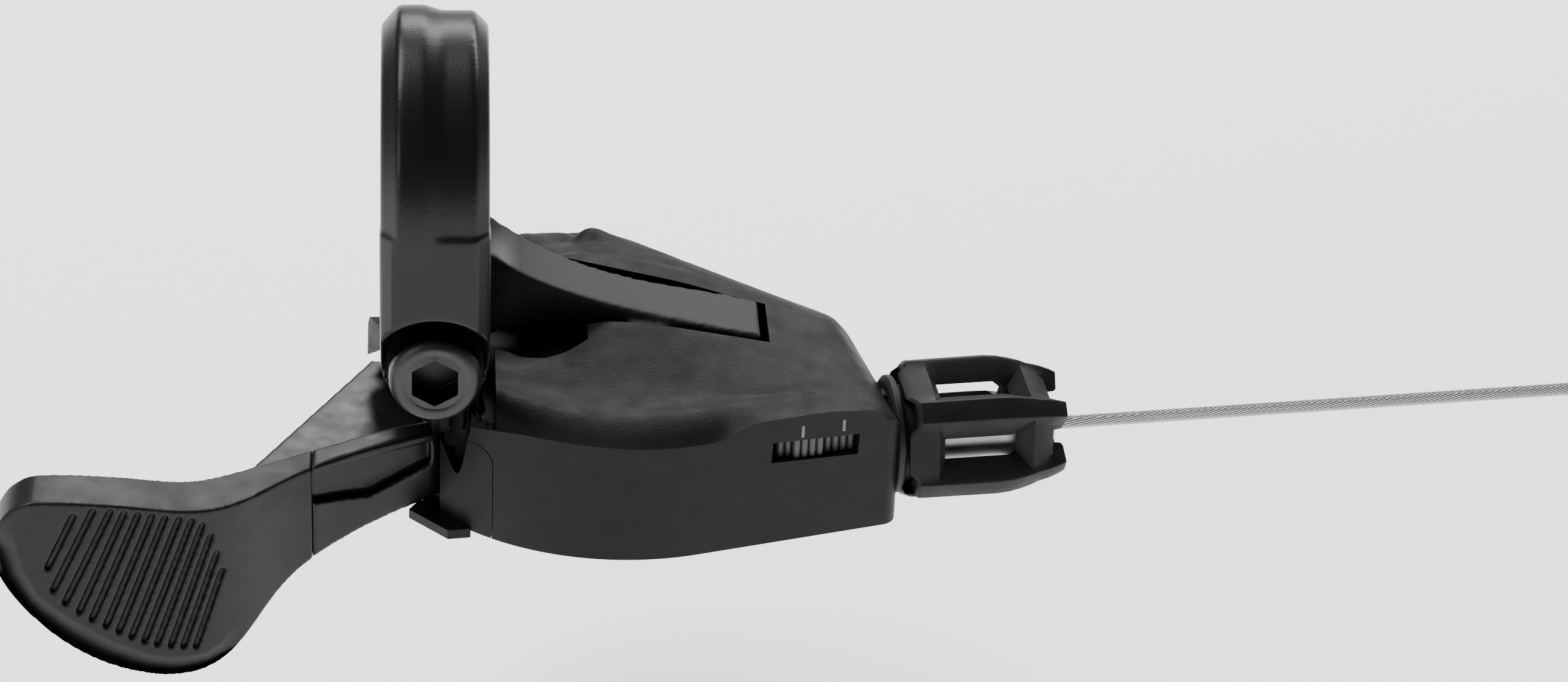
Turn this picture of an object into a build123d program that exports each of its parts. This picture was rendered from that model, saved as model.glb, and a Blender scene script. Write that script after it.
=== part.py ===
from build123d import *
import math
import os

os.makedirs("parts", exist_ok=True)

# A bicycle trigger shifter with one thumb lever, in millimetres.
# The origin is the centre of the clamp's bore, +X runs along the bar towards the cable,
# +Y points away from the rider and +Z is up.

# Clearances
running_gap = 0.05
seat_gap = 0.2
body_gap = 0.35
opening_gap = 0.3

# Handlebar clamp
bar_radius = 11.1
ring_width = 9.7
ring_radius = 14.1
ring_land_radius = 14.6
ring_bevel = 1.3
ear_radius = 4.9
ear_front = -14.4
split_front = -7.2
split_rear = -6.0
ear_rear = 4.6

# Clamp bolt
bolt_z = -14.9
bolt_radius = 2.5
bolt_head_radius = 4.2
bolt_head_height = 3.7
bolt_seat = -10.0
bolt_length = 14.0
hex_across = 4.1
hex_depth = 2.6
recess_radius = 6.8

# Housing outline, seen from above
sector_radius = 17.9
front_centre = (17.5, 5.3)
front_radius = sector_radius + 4.7
rear_centre = (13.0, 5.3)
wall_angle = 16.5
rear_angle = 32.0
end_x = 42.7
end_slant = 12.0
housing_bottom = -31.4
cover_wall = 1.5

# Arm pocket and slot in the cover
pocket_floor = -20.25
pocket_wall = 1.1
slot_gap = 0.45
slot_end_gap = 0.8

# Window in the front wall
window_x = 34.55
window_z = -22.0
window_length = 8.4
window_height = 2.1
window_slope = 3.0

# Axle and the stack of plates round it
axle_x = 20.5
axle_y = 3.6
axle_radius = 4.0
axle_screw_radius = 2.0
lower_cover_thickness = 1.0
screw_radius = 0.85
base_top = -29.0
base_thickness = 1.0
stack_gap = 0.2
lever_plate_thickness = 1.6
ratchet_thickness = 1.6
middle_plate_thickness = 0.8

# Cable and its drum
cable_radius = 0.6
cable_angle = 7.2
cable_line_radius = 11.07
cable_z = -25.5
drum_flange_radius = cable_line_radius + 1.13
drum_recess_radius = cable_line_radius - 1.47
drum_flange = 0.7
groove_height = 1.4
drum_hub_radius = 5.4
wrap_angle = 165.0
head_radius = 2.0
head_height = 1.9

# Ratchet
ratchet_teeth = 24
ratchet_root_radius = 12.4
ratchet_tip_radius = 13.4
sector_start = -78.0
sector_end = -27.0
sector_teeth = 6
sector_tooth_depth = 1.5

# Lever
lever_travel = 34.0
lever_hub_radius = 7.6
lever_bottom = -30.0
lever_top = -23.4
web_top = -25.4
web_bottom = -29.6
web_radius = 22.2
pad_seam_x = -11.2
pad_skin = 1.2
groove_width = 0.62
groove_depth = 0.5

# Barrel adjuster
neck_radius = 4.4
neck_length = 1.0
neck_root = 3.8
neck_root_radius = 3.4
barrel_start = 1.4
sleeve_length = 14.6
sleeve_radius = 6.7
sleeve_bore = 4.7
sleeve_end_radius = 4.6
sleeve_windows = 5
window_start = 2.6
window_run = 9.0
window_angle = 46.0
barrel_radius = 3.0
thread_radius = 2.5
socket_radius = 2.05
socket_depth = 7.5
cable_bore = 0.85

# Free cable and its coil
view_run = 82.0
coil_radius = 16.0
coil_section = 3.0


def sind(angle):
    return math.sin(math.radians(angle))


def cosd(angle):
    return math.cos(math.radians(angle))


def smooth(t):
    t = min(1.0, max(0.0, t))
    return t * t * (3 - 2 * t)


def shoulder(t):
    """A rise that starts at full slope and ends level at 1."""
    if t < 0:
        return 2 * t / (1 - 8 * t)
    return 1 - (1 - min(1.0, t)) ** 2


def slab(sketch, bottom, top):
    return extrude(Pos(0, 0, bottom) * sketch, top - bottom, dir=(0, 0, 1))


def from_front(sketch, back, depth):
    """A sketch of the front view, as (x, z), made solid towards the rider."""
    return extrude(Pos(0, back, 0) * Rot(90, 0, 0) * sketch, depth, dir=(0, -1, 0))


def polygon(points):
    return make_face(Polyline(*points, close=True))


def disc(radius, bottom, top, x=axle_x, y=axle_y):
    return Pos(x, y, (bottom + top) / 2) * Cylinder(radius, top - bottom)


def along_y(radius, start, end, x=0.0, z=bolt_z):
    turned = Rot(90, 0, 0) * Cylinder(radius, end - start)
    return Pos(x, (start + end) / 2, z) * turned


def polar(radius, angle, x=axle_x, y=axle_y):
    return (x + radius * cosd(angle), y + radius * sind(angle))


# Housing outline

wall_dir = (cosd(wall_angle), sind(wall_angle))
wall_normal = (sind(wall_angle), -cosd(wall_angle))
rear_normal = (sind(rear_angle), cosd(rear_angle))
rear_dir = (cosd(rear_angle), -sind(rear_angle))
centre_gap = math.dist(front_centre, rear_centre)
rear_radius = front_radius - centre_gap
wall_foot = (front_centre[0] + front_radius * wall_normal[0], front_centre[1] + front_radius * wall_normal[1])
end_front = (end_x, wall_foot[1] + (end_x - wall_foot[0]) * math.tan(math.radians(wall_angle)))
end_dir = (-sind(end_slant), cosd(end_slant))
end_normal = (cosd(end_slant), sind(end_slant))


def meet(point, direction, other, other_direction):
    """Where two lines cross."""
    gap = (other[0] - point[0], other[1] - point[1])
    turn = direction[0] * other_direction[1] - direction[1] * other_direction[0]
    run = (gap[0] * other_direction[1] - gap[1] * other_direction[0]) / turn
    return (point[0] + run * direction[0], point[1] + run * direction[1])


def housing_outline(inset):
    """The housing from above, drawn smaller by the inset on every side."""
    reach = front_radius - inset
    lean = rear_radius - inset
    start = (front_centre[0] + reach * wall_normal[0], front_centre[1] + reach * wall_normal[1])
    stop = (rear_centre[0] + lean * rear_normal[0], rear_centre[1] + lean * rear_normal[1])
    share = reach / centre_gap
    touch = (front_centre[0] + share * (rear_centre[0] - front_centre[0]),
             front_centre[1] + share * (rear_centre[1] - front_centre[1]))
    low = (front_centre[0] + reach * cosd(230), front_centre[1] + reach * sind(230))
    high = (rear_centre[0] + lean * cosd(125), rear_centre[1] + lean * sind(125))
    end_point = (end_front[0] - inset * end_normal[0], end_front[1] - inset * end_normal[1])
    front_corner = meet(start, wall_dir, end_point, end_dir)
    rear_corner = meet(stop, rear_dir, end_point, end_dir)
    edges = [
        ThreePointArc(touch, low, start),
        Line(start, front_corner),
        Line(front_corner, rear_corner),
        Line(rear_corner, stop),
        ThreePointArc(stop, high, touch),
    ]
    face = make_face(edges)
    corners = face.vertices().sort_by(Axis.X)
    return fillet(corners[-2:], 1.6)


# Sculpted top of the housing

rim_left = -21.0
rim_front = -19.4
rim_dip = -0.4
rim_lift = 1.5
rim_fall = -2.6
top_left = -14.6
top_slope = 0.13
rear_rim = -22.6
rear_shoulder = 8.0
end_rim = -21.5
end_shoulder = 3.0


def front_depth(x, y):
    """How far a point lies inside the front wall."""
    side = (x - front_centre[0]) * wall_dir[0] + (y - front_centre[1]) * wall_dir[1]
    if side > 0:
        return front_radius - (x - front_centre[0]) * wall_normal[0] - (y - front_centre[1]) * wall_normal[1]
    return front_radius - math.dist((x, y), front_centre)


def rear_depth(x, y):
    """How far a point lies inside the rear wall."""
    side = (x - rear_centre[0]) * rear_dir[0] + (y - rear_centre[1]) * rear_dir[1]
    if side > 0:
        return rear_radius - (x - rear_centre[0]) * rear_normal[0] - (y - rear_centre[1]) * rear_normal[1]
    return rear_radius - math.dist((x, y), rear_centre)


def end_depth(x, y):
    """How far a point lies inside the slanted end."""
    return (end_front[0] - x) * end_normal[0] + (end_front[1] - y) * end_normal[1]


def rim_height(x):
    """Height of the edge where the front wall turns into the shoulder."""
    height = rim_left + (rim_front - rim_left) * smooth((x + 1) / 10)
    height += rim_dip * smooth((x - 10) / 12)
    height += rim_lift * smooth((x - 25) / 4.5)
    return height + rim_fall * smooth((x - 38.5) / 4.5)


def top_height(x, y):
    """The housing's top: a flat crown that falls in two soft steps to the front wall."""
    crown = top_left - top_slope * math.hypot(max(0.0, x - 7), 1.0)
    depth = front_depth(x, y)
    rise = 0.45 * smooth(depth / 3.5) + 0.10 * smooth((depth - 3) / 6) + 0.45 * smooth((depth - 7.5) / 8.5)
    front_drop = (crown - rim_height(x)) * (1 - rise)
    rear_drop = (crown - rear_rim) * (1 - shoulder(rear_depth(x, y) / rear_shoulder))
    end_drop = (crown - end_rim) * (1 - shoulder(end_depth(x, y) / end_shoulder))
    return crown - (front_drop ** 4 + rear_drop ** 4 + end_drop ** 4) ** 0.25


def under_top(drop):
    """Everything below the sculpted top, lowered by the drop."""
    step = 2.0
    columns = [-9 + step * i for i in range(28)]
    rows = [-20.5 + step * i for i in range(21)]
    grid = [[Vector(x, y, top_height(x, y) - drop) for y in rows] for x in columns]
    top = Face.make_surface_from_array_of_points(grid, tol=0.05)
    return Solid.extrude(top, Vector(0, 0, -30))


# Arm of the clamp: corners of its cross-sections, as (y, z), from the ring to the tip

arm_stations = [4.6, 8.6, 15.3, 22.0, 30.2]
arm_top_front = [(4.9, -11.5), (3.7, -13.6), (2.4, -15.6), (0.8, -16.5), (-0.9, -17.3)]
arm_top_rear = [(9.4, -9.5), (9.9, -12.8), (8.4, -15.2), (7.2, -16.3), (5.4, -17.1)]
arm_foot_rear = [(9.2, -15.4), (9.4, -16.9), (8.1, -18.5), (6.9, -19.3), (5.1, -20.1)]
arm_foot_front = [(0.4, -18.3), (2.6, -18.4), (2.4, -18.8), (1.0, -19.5), (-0.7, -20.3)]
boss_radius = 3.4


def arm_section(index):
    x = arm_stations[index]
    corners = [arm_top_front[index], arm_top_rear[index], arm_foot_rear[index], arm_foot_front[index]]
    return polygon([(x, y, z) for y, z in corners])


def arm():
    """The forged arm from the ring to the shifter, with the boss that the axle's screw enters."""
    body = loft([arm_section(i) for i in range(len(arm_stations))])
    top = arm_top_front[3][1] - 0.6
    boss = disc(boss_radius, axle_top, top)
    return body + boss


def ring_profile():
    half = ring_width / 2
    points = [
        (-half, bar_radius),
        (-half, ring_radius - ring_bevel),
        (-half + ring_bevel + 0.3, ring_land_radius),
        (-0.9, ring_land_radius),
        (0.6, ring_radius),
        (half - ring_bevel, ring_radius),
        (half, ring_radius - ring_bevel),
        (half, bar_radius),
    ]
    return polygon(points)


def ear_outline():
    """The ears seen from the front: straight sides and a round lower end."""
    straight = Pos(0, bolt_z / 2) * Rectangle(ring_width + 0.2, -bolt_z)
    return straight + Pos(0, bolt_z) * Circle(ear_radius)


def ears():
    body = from_front(ear_outline(), ear_rear, ear_rear - ear_front)
    half = ring_width / 2 + 0.1
    plan = polygon([
        (-half, ear_rear), (-half, ear_front + ring_bevel), (-half + ring_bevel, ear_front),
        (half - ring_bevel, ear_front), (half, ear_front + ring_bevel), (half, ear_rear),
    ])
    return body & slab(plan, bolt_z - ear_radius - 1, 1)


def clamp_bracket():
    ring = revolve(ring_profile(), axis=Axis.X)
    split_middle = (split_front + split_rear) / 2
    low = bolt_z - ear_radius - 1
    split = Pos(0, split_middle, (low - 8) / 2) * Box(ring_width + 2, split_rear - split_front, -8 - low)
    cone_depth = recess_radius - ear_radius + 2.0
    cone = Rot(90, 0, 0) * Cone(ear_radius, recess_radius, cone_depth)
    recess = Pos(0, ear_front + cone_depth / 2, bolt_z) * cone
    body = ring + ears() + arm()
    body -= Rot(0, 90, 0) * Cylinder(bar_radius, 60)
    body -= split
    body -= recess
    body -= along_y(ear_radius - 0.1, ear_front - 1, bolt_seat)
    body -= along_y(bolt_radius + running_gap, bolt_seat - 1, ear_rear + 1)
    body -= disc(axle_screw_radius + running_gap, axle_top - 1, arm_top_front[3][1] - 1.6)
    return body


def clamp_bolt():
    head = along_y(bolt_head_radius, bolt_seat - bolt_head_height, bolt_seat)
    head = fillet(head.edges().group_by(Axis.Y)[0], 0.7)
    shank = along_y(bolt_radius, bolt_seat, bolt_seat + bolt_length)
    shank = chamfer(shank.edges().group_by(Axis.Y)[-1], 0.4)
    front = bolt_seat - bolt_head_height
    hexagon = Pos(0, bolt_z) * RegularPolygon(hex_across / 2, 6, major_radius=False, rotation=30)
    key = from_front(hexagon, front + hex_depth, hex_depth + 1)
    mouth = Rot(90, 0, 0) * Cone(hex_across / 2 - 0.1, hex_across / 2 + 0.45, 0.5)
    return head + shank - key - Pos(0, front + 0.25, bolt_z) * mouth


# Levels of the stack on the axle

lever_plate_bottom = base_top + stack_gap
lever_plate_top = lever_plate_bottom + lever_plate_thickness
drum_bottom = cable_z - groove_height / 2 - drum_flange
drum_top = cable_z + groove_height / 2 + 0.3
ratchet_bottom = drum_top
ratchet_top = ratchet_bottom + ratchet_thickness
middle_bottom = ratchet_top + stack_gap
middle_top = middle_bottom + middle_plate_thickness
axle_top = -20.6


def window_cutter():
    wall_y = wall_foot[1] + (window_x - wall_foot[0]) * math.tan(math.radians(wall_angle))
    place = Pos(window_x, wall_y, window_z) * Rot(0, 0, wall_angle) * Rot(0, window_slope, 0)
    return place * Box(window_length, 6, window_height)


def pocket_plan(grow):
    """The recess under the clamp and the arm's root, seen from above."""
    ear_half = ring_width / 2 + 0.7 + grow
    under_ears = Pos(0, -4.5) * Rectangle(2 * ear_half, 23 + 2 * grow)
    points = [
        (0, -1.4 - grow), (5.2, -1.6 - grow), (7.9, -3.4 - grow), (10.3, -3.5 - grow), (12.6, -2.3 - grow),
        (14.2 + grow, -1.2 - grow), (14.2 + grow, 9.2 + grow),
        (8.6, 10.5 + grow), (0, 10.4 + grow),
    ]
    return under_ears + polygon(points)


def slot_cutter():
    """The opening that the arm lies in, a little larger than the arm."""
    tip = arm_stations[-1] + slot_end_gap
    points = [
        (13.9, arm_top_front[2][0] - 2 * slot_gap), (22.0, arm_top_front[3][0] - 3 * slot_gap),
        (tip, arm_top_front[-1][0] - slot_gap),
        (tip, arm_top_rear[-1][0] + slot_gap), (13.9, arm_top_rear[2][0] + 2 * slot_gap),
    ]
    return slab(polygon(points), -24, -10)


opening_start = 213.3
opening_end = 168.4


def open_sector(start, stop):
    """A wedge round the axle, from the hollow to beyond the housing's wall."""
    return polygon([polar(18.0, start), polar(60.0, start), polar(60.0, stop), polar(18.0, stop)])


def lever_opening():
    """The open side that the lever swings through: tall for its rib and low for its web."""
    tall = slab(open_sector(opening_start, opening_end), housing_bottom - 1, lever_top + opening_gap)
    return tall + slab(open_sector(180, 167 - lever_travel), housing_bottom - 1, web_top + body_gap)


def panel_region(gap):
    """The part of the front wall that the side panel fills."""
    left, right = -0.4, 5.3
    low, high, corner = housing_bottom - 1, -21.9, 1.6
    plan = Pos((left + right + 8) / 2 - 4, (low + high) / 2)
    outline = plan * RectangleRounded(right - left - 2 * gap, high - low - 2 * gap, corner)
    return from_front(outline, 0, 20) - slab(open_sector(opening_start, opening_end), -40, 0)


def housing_shell():
    outer = slab(housing_outline(0), housing_bottom, -5) - lever_opening() - window_cutter() - panel_region(0)
    outer = outer & under_top(0)
    outer -= slab(pocket_plan(0), pocket_floor, 0)
    inner = slab(housing_outline(cover_wall), housing_bottom - 1, -5) & under_top(cover_wall)
    inner -= slab(pocket_plan(pocket_wall), pocket_floor - pocket_wall, 0)
    return outer - inner


def cable_place(distance):
    """A place on the cable's line, that far past the point where it leaves the drum."""
    x = axle_x + cable_line_radius * sind(cable_angle) + distance * cosd(cable_angle)
    y = axle_y - cable_line_radius * cosd(cable_angle) + distance * sind(cable_angle)
    return Pos(x, y, cable_z) * Rot(0, 0, cable_angle) * Rot(0, 90, 0)


def on_cable(radius, start, end):
    """A rod about the cable's line."""
    return cable_place((start + end) / 2) * Cylinder(radius, end - start)


def end_distance():
    """Where the cable's line crosses the slanted end of the housing."""
    x = axle_x + cable_line_radius * sind(cable_angle)
    y = axle_y - cable_line_radius * cosd(cable_angle)
    gap = (end_front[0] - x) * end_normal[0] + (end_front[1] - y) * end_normal[1]
    return gap / (cosd(cable_angle) * end_normal[0] + sind(cable_angle) * end_normal[1])


neck_at = end_distance()


def screw_places():
    return [polar(16.6, 12), polar(19.9, 125), polar(19.5, -136)]


def upper_cover():
    body = housing_shell()
    body += on_cable(neck_radius, neck_at - 1.2, neck_at + neck_length)
    body += on_cable(neck_root_radius, neck_at - neck_root, neck_at)
    body -= on_cable(thread_radius + running_gap, neck_at - 8, neck_at + neck_length + 1)
    for x, y in screw_places():
        body += disc(1.9, base_top + seat_gap, top_height(x, y) - cover_wall / 2, x, y)
        body -= disc(screw_radius + running_gap, housing_bottom - 1, base_top + 5, x, y)
    body -= slab(pocket_plan(0), pocket_floor, 0)
    return body - slot_cutter()


def side_panel():
    wall = slab(housing_outline(0), housing_bottom, -5) & under_top(0)
    wall -= slab(housing_outline(cover_wall), housing_bottom - 1, -5)
    panel = wall & panel_region(0.06)
    return panel - lever_opening()


def lever_sweep():
    """The ring round the axle that the lever's web sweeps through."""
    wedge = lever_opening()
    return wedge - disc(web_radius - 1.5, -40, 0)


def lower_cover():
    """The floor of the housing, with the lug under the lever."""
    floor_top = housing_bottom + lower_cover_thickness
    body = slab(housing_outline(cover_wall + 0.1), housing_bottom, floor_top)
    lug = polygon([(-2.4, -9.0), (1.2, -12.7), (3.3, -12.4), (3.3, -8.0), (0.0, -5.0)])
    body += slab(lug, housing_bottom - 0.7, housing_bottom + 0.3)
    wall = slab(housing_outline(0) - housing_outline(cover_wall + 0.1), housing_bottom, floor_top)
    body -= wall
    for x, y in screw_places():
        body -= disc(screw_radius + 0.2, housing_bottom - 1, housing_bottom + 2, x, y)
    return body - disc(4.2, housing_bottom - 1, housing_bottom + 2)


def base_plate():
    body = slab(housing_outline(cover_wall + 0.3), base_top - base_thickness, base_top)
    body -= lever_sweep()
    body -= disc(axle_radius - 0.8, base_top - 2, base_top + 1)
    for x, y in screw_places():
        body -= disc(screw_radius + 0.2, base_top - 2, base_top + 1, x, y)
    for x, y in [polar(9.5, 35), polar(11.0, -50)]:
        body -= disc(1.8, base_top - 2, base_top + 1, x, y)
    return body


def cover_screws():
    screws = []
    for x, y in screw_places():
        head = disc(1.9, housing_bottom - 0.9, housing_bottom, x, y)
        shank = disc(screw_radius, housing_bottom, base_top + 4, x, y)
        slot = Pos(x, y, housing_bottom - 0.9) * Box(0.5, 2.4, 0.8)
        cross = Pos(x, y, housing_bottom - 0.9) * Box(2.4, 0.5, 0.8)
        screws.append(head + shank - slot - cross)
    return Compound(children=screws)


def main_axle():
    shaft = disc(axle_radius, base_top, axle_top)
    spigot = disc(axle_radius - 0.8, base_top - base_thickness - 0.3, base_top)
    return shaft + spigot - disc(axle_screw_radius + running_gap, -40, 0)


def axle_washer():
    low = middle_top
    return disc(6.4, low, low + 0.5) - disc(axle_radius, low - 1, low + 1)


def bracket_screw():
    seat = base_top - base_thickness - 0.3
    head = disc(3.6, seat - 1.9, seat)
    shank = disc(axle_screw_radius, seat, arm_top_front[3][1] - 1.9)
    hexagon = RegularPolygon(1.25, 6, major_radius=False)
    key = slab(Pos(axle_x, axle_y) * hexagon, seat - 2.5, seat - 0.7)
    return head + shank - key


# Ratchet and drum

def toothed_disc(teeth, root, tip):
    """Saw teeth with a steep and a sloping flank."""
    points = []
    for i in range(teeth):
        start = 360 * i / teeth
        points.append(polar(tip, start))
        points.append(polar(root, start + 10 / teeth))
        points.append(polar(root, start + 90 / teeth))
    return polygon(points)


def sector_outline():
    """The toothed sector that shows through the window."""
    step = (sector_end - sector_start) / sector_teeth
    points = [polar(8.0, sector_start)]
    for i in range(sector_teeth):
        start = sector_start + i * step
        points.append(polar(sector_radius, start))
        points.append(polar(sector_radius, start + 0.52 * step))
        points.append(polar(sector_radius - sector_tooth_depth, start + 0.60 * step))
        points.append(polar(sector_radius - sector_tooth_depth, start + 0.92 * step))
    points.append(polar(8.0, sector_end))
    return polygon(points)


def ratchet_plate():
    teeth = toothed_disc(ratchet_teeth, ratchet_root_radius, ratchet_tip_radius)
    body = slab(teeth + sector_outline(), ratchet_bottom, ratchet_top)
    return body - disc(drum_hub_radius, ratchet_bottom - 1, ratchet_top + 1)


def winding_drum():
    groove_bottom = cable_line_radius - cable_radius
    body = disc(drum_flange_radius, drum_bottom, drum_bottom + drum_flange)
    body += disc(groove_bottom, drum_bottom, drum_top)
    body += disc(drum_flange_radius, cable_z + groove_height / 2, drum_top)
    body += disc(drum_hub_radius, drum_bottom, ratchet_top)
    body -= disc(drum_recess_radius, drum_bottom - 1, drum_bottom + 1.5) - disc(drum_hub_radius, -40, 0)
    body -= disc(axle_radius + running_gap, -40, 0)
    x, y = head_centre()
    pocket = disc(head_radius + running_gap, cable_z - head_height / 2, cable_z + head_height / 2, x, y)
    return body - pocket


def head_centre():
    return polar(cable_line_radius - 0.4, cable_angle - 90 - wrap_angle)


def cable_head():
    x, y = head_centre()
    return disc(head_radius, cable_z - head_height / 2 + 0.02, cable_z + head_height / 2 - 0.02, x, y)


def cable_wrap():
    start = polar(cable_line_radius, cable_angle - 90)
    middle = polar(cable_line_radius, cable_angle - 90 - wrap_angle / 2)
    span = wrap_angle - math.degrees(head_radius / cable_line_radius)
    stop = polar(cable_line_radius, cable_angle - 90 - span)
    path = ThreePointArc((*start, cable_z), (*middle, cable_z), (*stop, cable_z))
    section = Plane(origin=path @ 0, z_dir=path % 0) * Circle(cable_radius)
    return sweep(section, path=path) - cable_head()


def indicator_plate():
    """The fixed marker that stands in front of the sector in the window."""
    radius = sector_radius + 0.35
    level = ratchet_bottom - 0.35
    points = [polar(radius, -53.5), polar(radius + 1.0, -53.5), polar(radius + 1.0, -51.4),
              polar(radius + 0.5, -50.9), polar(radius + 0.5, -48.4), polar(radius + 1.0, -47.9),
              polar(radius + 1.0, -44.8), polar(radius, -44.8)]
    tip = slab(polygon(points), base_top, level + 0.9)
    return tip


def middle_plate():
    body = disc(drum_flange_radius, middle_bottom, middle_top)
    lugs = [post_place, holding_pivot]
    for x, y in lugs:
        body += disc(1.8, middle_bottom, middle_top, x, y)
        reach = (x - axle_x, y - axle_y)
        across = (-reach[1] / 10, reach[0] / 10)
        strip = [(axle_x - across[0], axle_y - across[1]), (x - across[0], y - across[1]),
                 (x + across[0], y + across[1]), (axle_x + across[0], axle_y + across[1])]
        body += slab(polygon(strip), middle_bottom, middle_top)
    body -= disc(axle_radius, -40, 0)
    body -= disc(rivet_radius, -40, 0, *post_place)
    return body - disc(rivet_radius, -40, 0, *holding_pivot)


def plate_post():
    shaft = disc(1.4, base_top, middle_bottom, *post_place)
    return shaft + disc(rivet_radius, middle_bottom, middle_top + 0.4, *post_place)


# Pawls

def pawl(pivot, nose, width, bottom, top, bore):
    """A flat pawl from its pivot to its nose."""
    run = (nose[0] - pivot[0], nose[1] - pivot[1])
    length = math.hypot(*run)
    side = (-run[1] / length * width / 2, run[0] / length * width / 2)
    heel = (nose[0] - 0.6 * run[0] / length + side[0] * 0.6,
            nose[1] - 0.6 * run[1] / length + side[1] * 0.6)
    blade = polygon([(pivot[0] - side[0], pivot[1] - side[1]), nose, heel,
                     (pivot[0] + side[0], pivot[1] + side[1])])
    body = slab(blade, bottom, top) + disc(width / 2 + 0.6, bottom, top, *pivot)
    return body - disc(bore, bottom - 1, top + 1, *pivot)


pawl_pin_radius = 1.2
rivet_radius = 0.8
post_place = polar(16.4, -8)
holding_pivot = polar(16.9, 110)
holding_nose = polar(ratchet_tip_radius + body_gap, 85)
drive_pivot = polar(17.4, 186)
drive_nose = polar(ratchet_tip_radius + 0.9, 160)


def holding_pawl():
    return pawl(holding_pivot, holding_nose, 2.6, ratchet_bottom, ratchet_top, pawl_pin_radius + running_gap)


def holding_pawl_pin():
    shaft = disc(pawl_pin_radius, base_top, middle_bottom, *holding_pivot)
    return shaft + disc(rivet_radius, middle_bottom, middle_top + 0.4, *holding_pivot)


def drive_pawl():
    return pawl(drive_pivot, drive_nose, 2.6, ratchet_bottom, ratchet_top, pawl_pin_radius + running_gap)


def drive_pawl_pin():
    return disc(pawl_pin_radius, lever_plate_top, ratchet_top + 0.1, *drive_pivot)


def coil_spring(x, y, radius, wire, pitch, turns, bottom):
    path = Pos(x, y, bottom + wire) * Helix(pitch, pitch * turns, radius)
    section = Plane(origin=path @ 0, z_dir=path % 0) * Circle(wire)
    return sweep(section, path=path, is_frenet=True)


def drum_return_spring():
    radius = (drum_hub_radius + drum_recess_radius) / 2
    return coil_spring(axle_x, axle_y, radius, 0.35, 0.74, 0.95, drum_bottom)


def lever_return_spring():
    return coil_spring(axle_x, axle_y, 4.65, 0.28, 0.6, 1.0, middle_top + 0.52)


# Lever

face_line = [(0.7, -8.0), (-3.0, -9.8), (-8.0, -12.2), (-13.0, -15.6), (-17.5, -20.2), (-22.5, -23.6),
             (-28.5, -25.9), (-34.0, -27.0), (-39.6, -27.2)]
back_line = [(-39.6, -22.6), (-34.0, -22.0), (-28.5, -20.8), (-23.0, -18.6), (-18.6, -15.4), (-13.5, -12.0),
             (-8.0, -9.2), (-3.0, -7.0), (1.2, -5.4)]
top_line = [(0.9, -23.4), (-8.0, -23.4), (-15.0, -23.6), (-20.5, -22.9), (-26.0, -21.0), (-31.0, -19.7),
            (-35.5, -19.2)]
tip_line = [(-35.5, -19.2), (-38.0, -20.6), (-39.2, -23.8), (-37.8, -28.4), (-34.0, -33.2)]
low_line = [(-34.0, -33.2), (-30.8, -35.9), (-26.4, -38.4), (-22.4, -39.6), (-19.4, -39.3), (-16.6, -37.2),
            (-13.8, -34.6), (-10.0, -32.8), (-5.0, -31.2), (0.9, lever_bottom)]
groove_tops = [(-31.9, -20.9), (-30.2, -20.6), (-28.7, -20.9), (-27.5, -21.3), (-26.3, -21.7), (-25.1, -22.1),
               (-24.0, -22.6), (-22.8, -23.1), (-21.7, -23.6), (-20.8, -24.4), (-20.1, -25.8), (-19.6, -27.8),
               (-19.2, -29.9)]
groove_feet = [(-34.3, -26.0), (-33.9, -28.4), (-32.9, -29.8), (-31.7, -30.9), (-30.6, -31.8), (-29.4, -32.7),
               (-28.3, -33.5), (-27.2, -34.3), (-26.1, -35.0), (-25.0, -35.6), (-23.8, -36.1), (-22.7, -36.5),
               (-21.6, -36.9)]


def lever_band(front_shift=0.0, back_shift=0.0, reach=5.0):
    """The lever's wall seen from above, between its face and its back, up to the reach in x."""
    front = Spline(*[(x, y + front_shift) for x, y in face_line if x < reach])
    back = Spline(*[(x, y - back_shift) for x, y in back_line if x < reach])
    edges = [front, Line(front @ 1, back @ 0), back, Line(back @ 1, front @ 0)]
    return make_face(edges)


def lever_elevation():
    """The lever seen from the front."""
    top = Spline(*top_line)
    tip = Spline(*tip_line)
    low = Spline(*low_line)
    outline = make_face([top, tip, low, Line(low @ 1, top @ 0)])
    return from_front(outline, 0, 40)


def lever_wall():
    return slab(lever_band(), -41, -18) & lever_elevation()


def pad_side():
    return Pos(pad_seam_x - 20, -20, -30) * Box(40, 40, 40)


def pad_core():
    """The tongue of the lever that the pad is moulded over."""
    core = slab(lever_band(pad_skin, pad_skin, -7.0), -41, -18) & lever_elevation()
    reach = Pos(-23, -20, -28) * Box(2 * (23 + pad_seam_x) + 0.1, 40, 8)
    return core & reach


def grooves():
    skin = slab(lever_band(), -41, -18) - slab(lever_band(groove_depth), -42, -17)
    cuts = []
    for top, foot in zip(groove_tops, groove_feet):
        slot = SlotCenterToCenter(math.dist(top, foot), groove_width)
        lean = math.degrees(math.atan2(top[1] - foot[1], top[0] - foot[0]))
        place = Pos((top[0] + foot[0]) / 2, (top[1] + foot[1]) / 2) * Rot(0, 0, lean)
        cuts.append(from_front(place * slot, 0, 40) & skin)
    return cuts


def lever_pad():
    pad = lever_wall() & pad_side()
    pad -= pad_core()
    pad -= slab(web_plan(), web_bottom, web_top)
    for cut in grooves():
        pad -= cut
    return pad


def web_plan():
    """The thin web behind the lever's rib, up to the housing's open side."""
    inner = web_radius
    arc = ThreePointArc(polar(inner, 206), polar(inner, 188), polar(inner, 170))
    points = [polar(inner, 170), (-6.0, 8.6), (-18.2, -13.6), (-17.0, -15.6), (-8.0, -9.6), (-1.0, -6.4),
              polar(inner, 206)]
    return make_face([arc, Polyline(*points)])


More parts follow.
